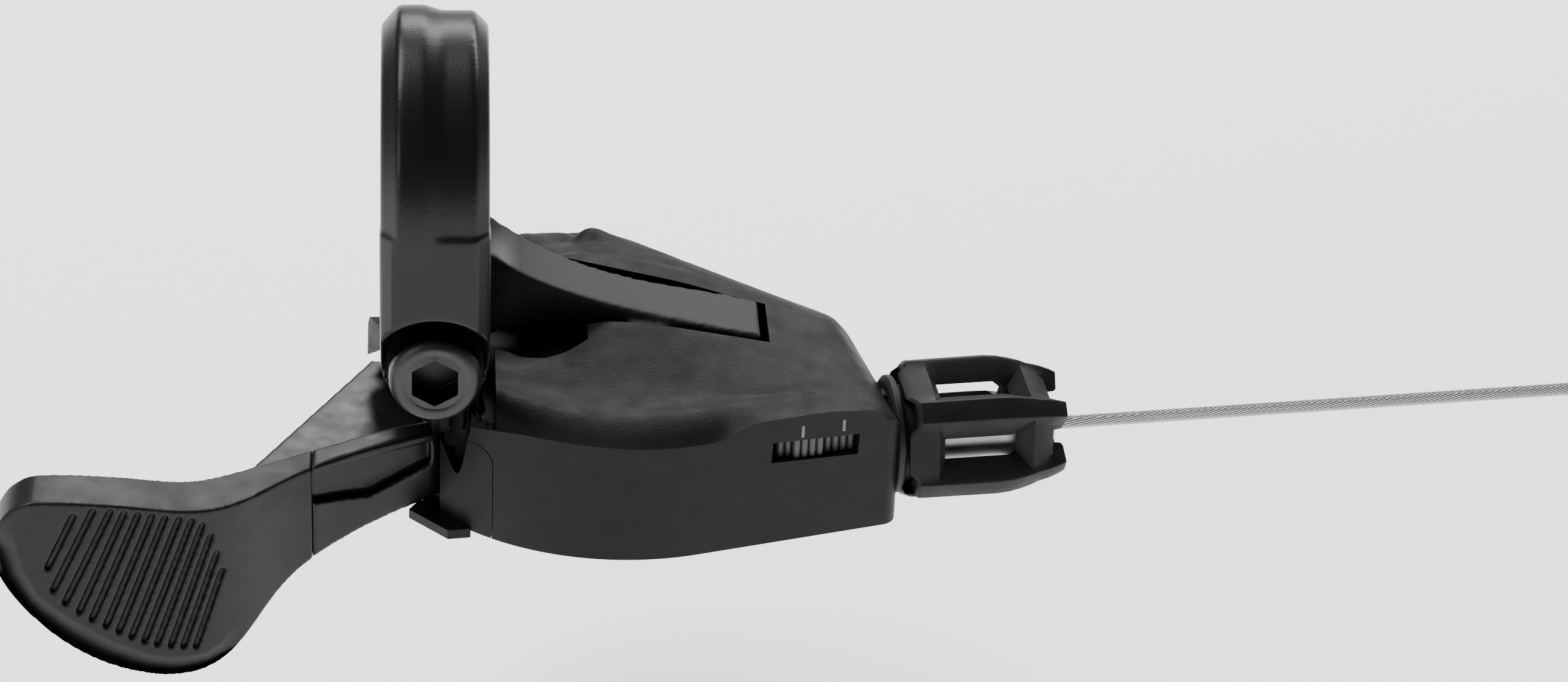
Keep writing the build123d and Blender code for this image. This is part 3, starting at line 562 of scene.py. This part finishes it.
def upper_cover():
    """The housing, with its top cut into a fine net and sculpted."""
    bm = merged_copy("upper_cover")
    fine_cuts(bm, Vector((1, 0, 0)), *TOP_SPAN_X, TOP_STEP, is_top)
    fine_cuts(bm, Vector((0, 1, 0)), *TOP_SPAN_Y, TOP_STEP, is_top)
    fine_cuts(bm, Vector((0, 0, 1)), *WALL_SPAN_Z, WALL_STEP, lambda face: not is_top(face))
    bmesh.ops.triangulate(bm, faces=[f for f in bm.faces if is_top(f) and len(f.verts) > 4])
    bm.normal_update()
    sculpt_cover(bm)
    bm.normal_update()
    for face in bm.faces:
        face.smooth = True
        face.material_index = cover_face(face)
    obj = mesh_object("upper_cover_skin", bm, SPARKED, MOULDED)
    obj.data.set_sharp_from_angle(angle=math.radians(38))
    return finish_object(obj, "shifter", "cover_resin", "upper_cover")


upper_cover()


# Marks and teeth at the window.

MARKS_X = (33.3, 37.1)
MARK_TOP = -19.4
MARK_HEIGHT = 1.2
MARK_WIDTH = 0.28
MARK_THICKNESS = 0.06


def wall_face(x):
    """The straight front wall's outer face, as its Y at that X."""
    return (FRONT_CENTRE[1] - FRONT_RADIUS / math.cos(WALL_ANGLE)
            + (x - FRONT_CENTRE[0]) * math.tan(WALL_ANGLE))


def window_marks():
    """Two printed strokes over the window."""
    bm = bmesh.new()
    for x in MARKS_X:
        place = Matrix.Translation(Vector((x, wall_face(x), MARK_TOP - MARK_HEIGHT / 2)) * MM)
        size = Matrix.Diagonal((MARK_WIDTH * MM, MARK_THICKNESS * MM, MARK_HEIGHT * MM, 1))
        bmesh.ops.create_cube(bm, size=1.0, matrix=place @ Matrix.Rotation(WALL_ANGLE, 4, "Z") @ size)
    return finish_object(mesh_object("window_marks", bm, INK), "shifter", "cover_resin")


window_marks()


# Toothed edges seen through the window: where each starts along X, its tooth count, how far it
# stands behind the wall's face, and its top and foot.
WINDOW_TEETH = ((30.95, 2, 0.95, -20.9, -23.2), (32.45, 4, 0.45, -21.15, -23.0),
                (35.35, 4, 0.95, -20.9, -23.2))
TOOTH_PITCH = 0.72
TOOTH_RADIUS = 0.34
STRIP_THICKNESS = 0.5
STRIP_BACK = 0.3
STRIP_LOWER = 0.04


def window_teeth():
    """Rows of round-nosed teeth on a strip, for the marker's edge and the fixed edges on both its sides."""
    bm = bmesh.new()
    for start, count, back, top, foot in WINDOW_TEETH:
        stand = back + TOOTH_RADIUS
        middle = (top + foot) / 2
        for i in range(count):
            x = start + TOOTH_PITCH * (i + 0.5)
            bmesh.ops.create_cone(bm, cap_ends=True, segments=24, radius1=TOOTH_RADIUS * MM,
                                  radius2=TOOTH_RADIUS * MM, depth=(top - foot) * MM,
                                  matrix=Matrix.Translation(Vector((x, wall_face(x) + stand, middle)) * MM))
        x = start + TOOTH_PITCH * count / 2
        place = Matrix.Translation(Vector((x, wall_face(x) + stand, middle)) * MM)
        place = place @ Matrix.Rotation(WALL_ANGLE, 4, "Z") @ Matrix.Translation((0, STRIP_BACK * MM, 0))
        size = Matrix.Diagonal((TOOTH_PITCH * count * MM, STRIP_THICKNESS * MM,
                                (top - foot - STRIP_LOWER) * MM, 1))
        bmesh.ops.create_cube(bm, size=1.0, matrix=place @ size)
    for face in bm.faces:
        face.smooth = True
    # The teeth take the lightened acetal: painted light and painted highlights on dark plastic.
    obj = mesh_object("window_teeth", bm, PAINTED_LIGHT_ACETAL)
    obj.data.set_sharp_from_angle(angle=math.radians(40))
    return finish_object(obj, "shifter", "marker_resin")


window_teeth()


# Adjuster's sleeve, in its own frame: radius, angle from a rib, and distance from its left end.
# The net's columns go round it, closer at each rib, and its rows go along it.

SLEEVE_START = 21.115
LOBES = 5
LOBE_TURN = 8.0
RIB_HALF = 11.5
RIB_FLAT = 8.5
RIB_RAISED = 0.3
RIB_COLUMNS = (-11.5, -8.5, -4.0, 0.0, 4.0, 8.5)
PANEL_COLUMNS = 10
SLEEVE_ROWS = (0.0, 0.5, 1.1, 1.8, 2.7, 3.6, 4.8, 6.0, 7.2, 8.4, 9.6, 10.7, 11.7, 12.3, 12.9, 13.4, 13.8)
SLEEVE_PROFILE = ((0.0, 6.35), (0.5, 6.7), (8.5, 6.75), (10.0, 6.6), (11.7, 6.1), (12.9, 5.5), (13.8, 4.8))
BORE_PROFILE = ((0.0, 4.75), (10.7, 4.75), (12.3, 3.5), (13.8, 3.3))
INNER_ROWS = ((0.0, 0.0), (2.7, 3.5), (11.7, 10.2), (13.8, 13.7))
# Half of the angle that a rib takes up in the bore, where the windows open out less.
BORE_RIB_HALF = 25.0
WINDOW_FROM = 2.7
WINDOW_TO = 11.7
# Ribs reach past the right end and stop short of the left one, over the last stretch of each.
RIB_NOSE = 1.3
RIB_NOTCH = 0.7
SCALLOP_FROM = 12.0
SCALLOP_OVER = 1.8
SCALLOP_HALF = 17.0
SCALLOP_SLOPE = 8.0


def sleeve_column(index):
    """The angle from the lobe's rib, in degrees, of one column of the sleeve's net."""
    if index < len(RIB_COLUMNS):
        return RIB_COLUMNS[index]
    return RIB_HALF + (index - len(RIB_COLUMNS)) * (360 / LOBES - 2 * RIB_HALF) / PANEL_COLUMNS


def sleeve_radius(angle, along):
    """Flat panels between raised ribs, drawn in towards the right end."""
    radius = at_x(SLEEVE_PROFILE, along)
    half = 180 / LOBES - RIB_HALF
    if abs(angle) <= RIB_FLAT:
        return radius
    radius -= RIB_RAISED
    if abs(angle) <= RIB_HALF:
        return radius
    return radius * math.cos(math.radians(half)) / math.cos(math.radians(angle - 180 / LOBES))


def sleeve_vertex(angle, along, inner):
    """A point of the sleeve's skin or bore, in its own frame, in millimetres."""
    from_rib = min(abs(angle), abs(360 / LOBES - angle))
    rib = smooth((SCALLOP_HALF - from_rib) / SCALLOP_SLOPE)
    if inner:
        radius = at_x(BORE_PROFILE, along)
        if abs(angle) <= RIB_HALF:
            angle = angle * BORE_RIB_HALF / RIB_HALF
        else:
            half = 180 / LOBES
            angle = half + (angle - half) * (half - BORE_RIB_HALF) / (half - RIB_HALF)
        along = at_x(INNER_ROWS, along)
    else:
        radius = sleeve_radius(angle, along)
    nose = RIB_NOSE * smooth((along - SCALLOP_FROM) / SCALLOP_OVER)
    notch = RIB_NOTCH * smooth((SCALLOP_OVER - along) / SCALLOP_OVER)
    along += (nose + notch) * rib
    return radius, angle, along


def barrel_sleeve():
    """A soft sleeve with five raised ribs, a tapered window between each two, and scalloped ends."""
    bm = bmesh.new()
    per_lobe = len(RIB_COLUMNS) + PANEL_COLUMNS
    columns = LOBES * per_lobe
    rows = len(SLEEVE_ROWS) - 1
    bmesh.ops.create_grid(bm, x_segments=columns, y_segments=rows, size=0.5)
    spots = {}
    for vert in bm.verts:
        column = round((vert.co.x + 0.5) * columns)
        spots[vert] = (column % columns, round((vert.co.y + 0.5) * rows))
    first, last = SLEEVE_ROWS.index(WINDOW_FROM), SLEEVE_ROWS.index(WINDOW_TO)
    gone = []
    for face in bm.faces:
        column = min(round((v.co.x + 0.5) * columns) for v in face.verts)
        row = min(spots[v][1] for v in face.verts)
        if column % per_lobe >= len(RIB_COLUMNS) and first <= row < last:
            gone.append(face)
    bmesh.ops.delete(bm, geom=gone, context="FACES")
    spots = {v: spot for v, spot in spots.items() if v.is_valid}
    grown = bmesh.ops.extrude_face_region(bm, geom=bm.faces[:])
    inner = {v for v in grown["geom"] if isinstance(v, bmesh.types.BMVert)}
    for vert in bm.verts:
        if vert in inner:
            column = round((vert.co.x + 0.5) * columns) % columns
            row = round((vert.co.y + 0.5) * rows)
        else:
            column, row = spots[vert]
        lobe, index = divmod(column, per_lobe)
        radius, angle, along = sleeve_vertex(sleeve_column(index), SLEEVE_ROWS[row], vert in inner)
        turn = math.radians(angle + 360 / LOBES * lobe + LOBE_TURN)
        vert.co = Vector((radius * math.cos(turn), radius * math.sin(turn), along)) * MM
    bmesh.ops.remove_doubles(bm, verts=bm.verts, dist=0.0005 * MM)
    place = Matrix.Translation(on_cable(SLEEVE_START)) @ Matrix.Rotation(CABLE_ANGLE, 4, "Z")
    bmesh.ops.transform(bm, matrix=place @ Matrix.Rotation(math.radians(90), 4, "Y"), verts=bm.verts)
    bmesh.ops.recalc_face_normals(bm, faces=bm.faces)
    for face in bm.faces:
        face.smooth = True
    obj = mesh_object("barrel_sleeve_skin", bm, SLEEVE_RESIN)
    round_edges(obj, 0.22, segments=3, angle=35)
    return finish_object(obj, "sleeve", "sleeve_resin", "barrel_sleeve")


barrel_sleeve()


# Seal at the neck, as radius and distance along the cable.

SEAL_PROFILE = ((2.7, 19.9), (5.1, 19.9), (5.5, 20.2), (5.5, 20.7), (5.2, 20.95), (4.5, 21.05),
                (4.5, 22.4), (2.7, 22.4))


def neck_seal():
    """The black rubber ring that fills the gap between the housing's neck and the sleeve."""
    bm = bmesh.new()
    start = [bm.verts.new(Vector((radius, 0, along)) * MM) for radius, along in SEAL_PROFILE]
    edges = [bm.edges.new(pair) for pair in zip(start, start[1:] + start[:1])]
    bmesh.ops.spin(bm, geom=start + edges, cent=(0, 0, 0), axis=(0, 0, 1), angle=2 * math.pi, steps=64,
                   use_merge=True)
    place = Matrix.Translation(on_cable(0)) @ Matrix.Rotation(CABLE_ANGLE, 4, "Z")
    bmesh.ops.transform(bm, matrix=place @ Matrix.Rotation(math.radians(90), 4, "Y"), verts=bm.verts)
    bmesh.ops.remove_doubles(bm, verts=bm.verts, dist=0.0005 * MM)
    bmesh.ops.recalc_face_normals(bm, faces=bm.faces)
    for face in bm.faces:
        face.smooth = True
    obj = mesh_object("neck_seal_skin", bm, NITRILE)
    round_edges(obj, 0.12, segments=2, angle=30)
    return finish_object(obj, "shifter", "seal_rubber", "neck_seal")


neck_seal()


# Clamp bolt.

BOLT_Z = -14.9
BOLT_HEAD_RADIUS = 4.2
# Radius and fall from the face, over the rounded rim and then down the knurled side and the shank.
BOLT_DOME = ((2.75, 0.12), (3.0, 0.0), (3.35, 0.0), (3.65, 0.1), (3.9, 0.28), (4.08, 0.52),
             (4.17, 0.8), (4.2, 1.1))
BOLT_SHANK = ((4.2, 1.35), (4.2, 3.6), (4.1, 3.7), (2.5, 3.7), (2.5, 17.4), (2.2, 17.7))
BOLT_FACE_Y = -13.7
HEX_ACROSS = 4.1
HEX_DEPTH = 2.6
KNURL_RIDGES = 36
KNURL_DEPTH = 0.13
KNURL_FROM = 1.0


def clamp_bolt():
    """A socket cap screw with a domed face, coloured lighter as a painted highlight, and a knurled side."""
    bm = bmesh.new()
    steps = 2 * KNURL_RIDGES
    bmesh.ops.create_circle(bm, cap_ends=True, segments=6, radius=HEX_ACROSS / math.sqrt(3) * MM)
    floor = bm.faces[:][0]
    mouth = bmesh.ops.extrude_face_region(bm, geom=[floor])
    wall_top = [v for v in mouth["geom"] if isinstance(v, bmesh.types.BMVert)]
    bmesh.ops.translate(bm, verts=wall_top, vec=(0, 0, HEX_DEPTH * MM))
    lid = [f for f in mouth["geom"] if isinstance(f, bmesh.types.BMFace)]
    rim_edges = list({e for f in lid for e in f.edges})
    bmesh.ops.delete(bm, geom=lid, context="FACES_ONLY")
    bmesh.ops.create_circle(bm, cap_ends=False, segments=steps, radius=BOLT_DOME[0][0] * MM,
                            matrix=Matrix.Translation((0, 0, (HEX_DEPTH - BOLT_DOME[0][1]) * MM)))
    rim_loop = [e for e in bm.edges if e.is_wire or (not e.link_faces)]
    bmesh.ops.bridge_loops(bm, edges=rim_edges + rim_loop)
    outer = [e for e in rim_loop if e.is_valid]
    for radius, fall in BOLT_DOME[1:] + BOLT_SHANK:
        grown = bmesh.ops.extrude_edge_only(bm, edges=outer)
        verts = [v for v in grown["geom"] if isinstance(v, bmesh.types.BMVert)]
        outer = [e for e in grown["geom"] if isinstance(e, bmesh.types.BMEdge)]
        for vert in verts:
            flat = Vector((vert.co.x, vert.co.y, 0)).normalized()
            ridge = round(math.atan2(flat.y, flat.x) / (2 * math.pi) * steps) % 2
            knurled = radius == BOLT_HEAD_RADIUS and fall > KNURL_FROM
            depth = KNURL_DEPTH if ridge and knurled else 0.0
            vert.co = flat * (radius - depth) * MM + Vector((0, 0, (HEX_DEPTH - fall) * MM))
    bmesh.ops.holes_fill(bm, edges=outer)
    bmesh.ops.recalc_face_normals(bm, faces=bm.faces)
    for face in bm.faces:
        face.smooth = True
        face.material_index = 0
        middle = face.calc_center_median() / MM
        out = math.hypot(middle.x, middle.y)
        # The rounded face takes the lighter steel: a painted highlight.
        if middle.z > HEX_DEPTH - KNURL_FROM and out > HEX_ACROSS / 2:
            face.material_index = 1
    place = Matrix.Translation(Vector((0, BOLT_FACE_Y + HEX_DEPTH, BOLT_Z)) * MM)
    bmesh.ops.transform(bm, matrix=place @ Matrix.Rotation(math.radians(90), 4, "X"), verts=bm.verts)
    obj = mesh_object("clamp_bolt_skin", bm, BLACK_OXIDE, HIGHLIGHT_PAINTED_STEEL)
    obj.data.set_sharp_from_angle(angle=math.radians(35))
    round_edges(obj, 0.12, segments=2, angle=50)
    return finish_object(obj, "shifter", "black_bolt_steel", "clamp_bolt")


clamp_bolt()


# Cable.

STRAIGHT_POINTS = 12
STRAIGHT_STEP = 6.8
POINTS_PER_TURN = 20
# The share of a turn after which the cable moves over to the next turn's place.
SHIFT_FROM = 0.6


def coil_offsets():
    """Places of the turns in the coil's section, each a cable's width from the last."""
    width = 2 * CABLE_RADIUS
    places = [(0.0, 0.0)]
    for ring in (1, 2):
        for i in range(6 * ring):
            corner = i // ring
            share = (i % ring) / ring
            a = math.radians(60 * corner)
            b = math.radians(60 * (corner + 1))
            x = ring * width * ((1 - share) * math.cos(a) + share * math.cos(b))
            y = ring * width * ((1 - share) * math.sin(a) + share * math.sin(b))
            places.append((x, y))
    return places


def cable_points():
    """The straight run and then the coil's turns, hanging below the run's end."""
    points = [on_cable(CABLE_EXIT + STRAIGHT_STEP * i) for i in range(STRAIGHT_POINTS)]
    centre = CABLE_START + ALONG_CABLE * COIL_AT - Vector((0, 0, COIL_RADIUS))
    across = ALONG_CABLE.cross(Vector((0, 0, 1)))
    places = coil_offsets()
    run = CABLE_LENGTH - (COIL_AT - CABLE_EXIT)
    for step in range(1, int(run / (2 * math.pi * COIL_RADIUS) * POINTS_PER_TURN)):
        turn, share = divmod(step / POINTS_PER_TURN, 1.0)
        first = places[int(turn)]
        second = places[min(int(turn) + 1, len(places) - 1)]
        blend = max(0.0, (share - SHIFT_FROM) / (1 - SHIFT_FROM))
        out = first[0] + (second[0] - first[0]) * blend
        side = first[1] + (second[1] - first[1]) * blend
        angle = 2 * math.pi * share
        ray = ALONG_CABLE * math.sin(angle) + Vector((0, 0, 1)) * math.cos(angle)
        points.append((centre + ray * (COIL_RADIUS + out) + across * side) * MM)
    return points


def free_cable():
    """The inner cable outside the barrel, and its put-away length in turns."""
    curve = bpy.data.curves.new("free_cable_skin", "CURVE")
    curve.dimensions = "3D"
    curve.bevel_depth = CABLE_RADIUS * MM
    curve.bevel_resolution = 4
    curve.resolution_u = 6
    points = cable_points()
    spline = curve.splines.new("NURBS")
    spline.points.add(len(points) - 1)
    for point, place in zip(spline.points, points):
        point.co = (*place, 1.0)
    spline.order_u = 3
    spline.use_endpoint_u = True
    curve.use_fill_caps = True
    curve.materials.append(STRANDS)
    obj = bpy.data.objects.new("free_cable_skin", curve)
    bpy.context.collection.objects.link(obj)
    finish_object(obj, "cable", "cable_steel", "free_cable", "cable_coil")


free_cable()


# Materials of the solids that show as they are.

# The indicator plate and the drum take the lightened acetal, which is painted light.
KEPT = {
    "base_plate": STAMPED_STEEL, "cover_screws": BLACK_OXIDE, "main_axle": STAMPED_STEEL,
    "axle_washer": STAMPED_STEEL, "bracket_screw": BLACK_OXIDE, "middle_plate": STAMPED_STEEL,
    "plate_post": STAMPED_STEEL, "indicator_plate": PAINTED_LIGHT_ACETAL, "holding_pawl": STAMPED_STEEL,
    "holding_pawl_pin": STAMPED_STEEL, "ratchet_plate": RATCHET_STEEL, "winding_drum": PAINTED_LIGHT_ACETAL,
    "cable_head": STAMPED_STEEL, "cable_wrap": STAMPED_STEEL, "inner_cable": STAMPED_STEEL,
    "drum_return_spring": STAMPED_STEEL, "lever_return_spring": STAMPED_STEEL, "lever_plate": STAMPED_STEEL,
    "drive_pawl": STAMPED_STEEL, "drive_pawl_pin": STAMPED_STEEL, "barrel_bolt": BRIGHT_ALUMINIUM,
}
for node, material in KEPT.items():
    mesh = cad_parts[node].data
    mesh.materials.clear()
    mesh.materials.append(material)


# Floor, light and camera.

FLOOR_HALF_M = 6.0
FLOOR_Z = -62.0


def stage_floor():
    """The white ground under the part's lowest point."""
    bm = bmesh.new()
    bmesh.ops.create_grid(bm, x_segments=1, y_segments=1, size=FLOOR_HALF_M)
    bmesh.ops.translate(bm, verts=bm.verts, vec=(0, 0, FLOOR_Z * MM))
    floor = mesh_object("studio_floor", bm, FLOOR_PAPER)


def soft_light(name, place, aim, size, watts):
    """A soft box that faces a point."""
    lamp = bpy.data.lights.new(name, "AREA")
    lamp.shape = "RECTANGLE"
    lamp.size, lamp.size_y = size
    lamp.energy = watts
    obj = bpy.data.objects.new(name, lamp)
    bpy.context.collection.objects.link(obj)
    obj.location = place
    obj.rotation_euler = (Vector(aim) - Vector(place)).to_track_quat("-Z", "Y").to_euler()


# White paper on a light table, which keeps the ground under a black product white.
FLOOR_PAPER = new_material("white_paper", Base_Color=colour("#f6f6f7"), Roughness=0.9,
                           Emission_Color=colour("#ffffff"), Emission_Strength=1.25)
stage_floor()
world = bpy.data.worlds.new("studio")
world.use_nodes = True
world.node_tree.nodes["Background"].inputs["Color"].default_value = colour("#ffffff")
world.node_tree.nodes["Background"].inputs["Strength"].default_value = 0.15
bpy.context.scene.world = world
soft_light("key", (-0.25, 0.15, 0.60), (0.0, 0.0, 0.0), (0.45, 0.30), 4.2)
soft_light("rear_strip", (0.20, 0.45, 0.30), (0.02, 0.0, 0.0), (0.6, 0.10), 2.8)
soft_light("front_left", (-0.45, -0.35, 0.25), (0.0, 0.0, 0.0), (0.25, 0.30), 1.0)


def camera():
    """The photographer's view, from the rider's side and 30 degrees above."""
    data = bpy.data.cameras.new("camera")
    data.sensor_width = 36.0
    data.sensor_fit = "HORIZONTAL"
    data.lens = 106.2
    data.shift_x = 0.2297
    data.clip_start = 0.01
    data.clip_end = 50.0
    obj = bpy.data.objects.new("camera", data)
    bpy.context.collection.objects.link(obj)
    obj.location = Vector((-1.0, -371.69, 196.22)) * MM
    obj.rotation_euler = (math.radians(60), 0, 0)
    bpy.context.scene.camera = obj


camera()
